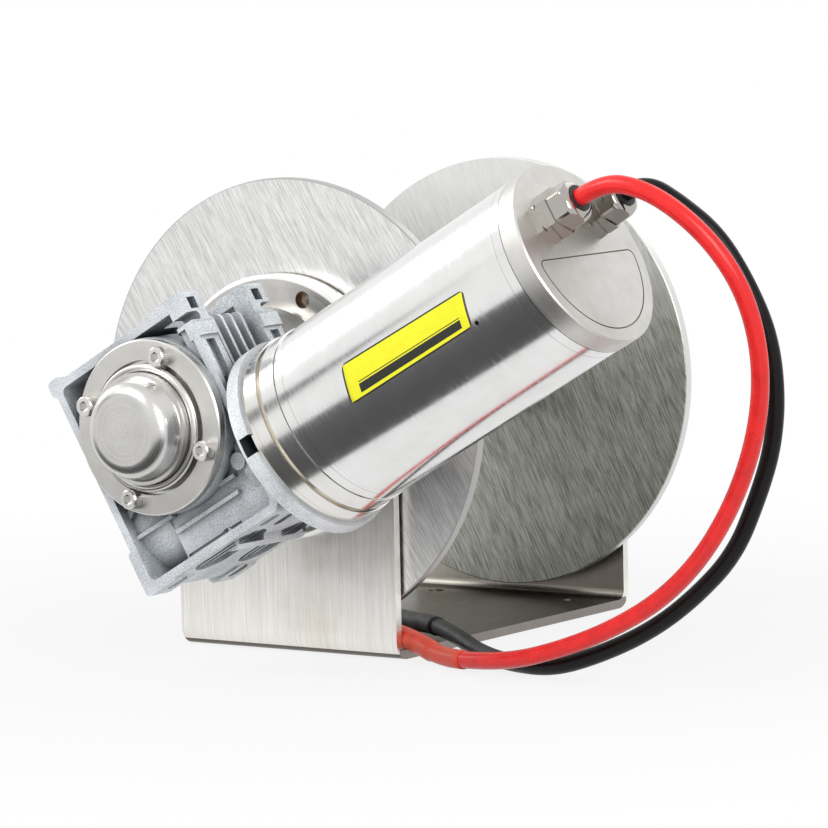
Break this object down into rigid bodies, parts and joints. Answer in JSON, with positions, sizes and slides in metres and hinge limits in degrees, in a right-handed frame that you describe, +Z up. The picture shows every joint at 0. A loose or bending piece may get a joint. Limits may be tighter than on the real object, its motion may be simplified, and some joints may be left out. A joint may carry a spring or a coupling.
{
  "type": "drum winch",
  "caption": "Electric drum winch for an anchor rope: flanged drum in a bent steel frame, worm gearbox and tubular motor with two battery cables.",
  "frame": {"origin": "centre of the underside of the frame's base, straight under the drum's axis", "axes": "+Z up, +Y along the drum's axis away from the gearbox, +X the side that the motor leans to"},
  "size_m": [0.4558, 0.385, 0.2644],
  "materials": {
    "frame_steel": "brushed",
    "drum_steel": "brushed",
    "machined_steel": "turned",
    "cast_alloy": "sand cast",
    "screw_steel": "satin",
    "polished_steel": "polished",
    "bearing_steel": "ground",
    "wheel_bronze": "machined",
    "copper": "machined",
    "ferrite": "matte",
    "carbon": "matte",
    "board": "matte",
    "seal_rubber": "matte",
    "nickel": "polished",
    "red_sheath": "gloss",
    "black_sheath": "satin",
    "red_shrink": "satin",
    "black_shrink": "satin",
    "tinned_copper": "tinned"
  },
  "bodies": {
    "frame": {"mounting_frame": "frame_steel", "gearbox_mounting_disc": "machined_steel", "mounting_screws": "screw_steel", "gearbox_adapter": "machined_steel", "adapter_screws": "screw_steel", "gearbox_housing": "cast_alloy", "output_bearing_cover": "cast_alloy", "output_cover_ring": "machined_steel", "output_cover_cap": "polished_steel", "cover_screws": "screw_steel", "output_bearing_front": "bearing_steel", "output_bearing_rear": "bearing_steel", "output_seal_rear": "seal_rubber", "worm_bearing_front": "bearing_steel", "worm_bearing_rear": "bearing_steel", "worm_seal": "seal_rubber", "worm_end_cap": "seal_rubber", "input_flange": "cast_alloy", "input_flange_screws": "screw_steel", "motor_front_bell": "polished_steel", "motor_tube": "polished_steel", "motor_end_cap": "machined_steel", "motor_tie_bolts": "screw_steel", "motor_magnets": "ferrite", "motor_bearing_front": "bearing_steel", "motor_bearing_rear": "bearing_steel", "brush_plate": "board", "carbon_brushes": "carbon", "red_gland_lock_nut": "nickel", "black_gland_lock_nut": "nickel", "gland_bodies": "nickel", "red_gland_dome_nut": "nickel", "black_gland_dome_nut": "nickel", "gland_seals": "seal_rubber", "far_bearing_housing": "machined_steel", "far_bush": "wheel_bronze", "far_bearing_screws": "screw_steel", "near_thrust_washer": "board", "red_cable": "red_sheath", "black_cable": "black_sheath", "red_sleeve": "red_shrink", "black_sleeve": "black_shrink", "red_ring_terminal": "tinned_copper", "black_ring_terminal": "tinned_copper"},
    "drum": {"drum_shaft": "machined_steel", "shaft_key": "screw_steel", "near_flange": "drum_steel", "far_flange": "drum_steel", "drum_barrel": "drum_steel", "rope_clamp": "drum_steel", "rope_clamp_screw": "screw_steel", "far_spacer": "machined_steel", "wheel_hub": "machined_steel", "worm_wheel": "wheel_bronze", "shaft_end_washer": "screw_steel", "shaft_end_bolt": "screw_steel"},
    "rotor": {"worm_shaft": "bearing_steel", "motor_shaft": "bearing_steel", "armature_core": "ferrite", "commutator": "copper"}
  },
  "joints": [
    {"name": "drum_spin", "type": "hinge", "parent": "frame", "child": "drum", "pos_m": [0, 0, 0.131], "axis": [0, 1, 0], "continuous": true},
    {"name": "rotor_spin", "type": "hinge", "parent": "frame", "child": "rotor", "pos_m": [0.02, -0.189, 0.09636], "axis": [0.866, 0, 0.5], "continuous": true}
  ],
  "couplings": [
    {"joint": "rotor_spin", "follows": "drum_spin", "ratio": 30}
  ]
}
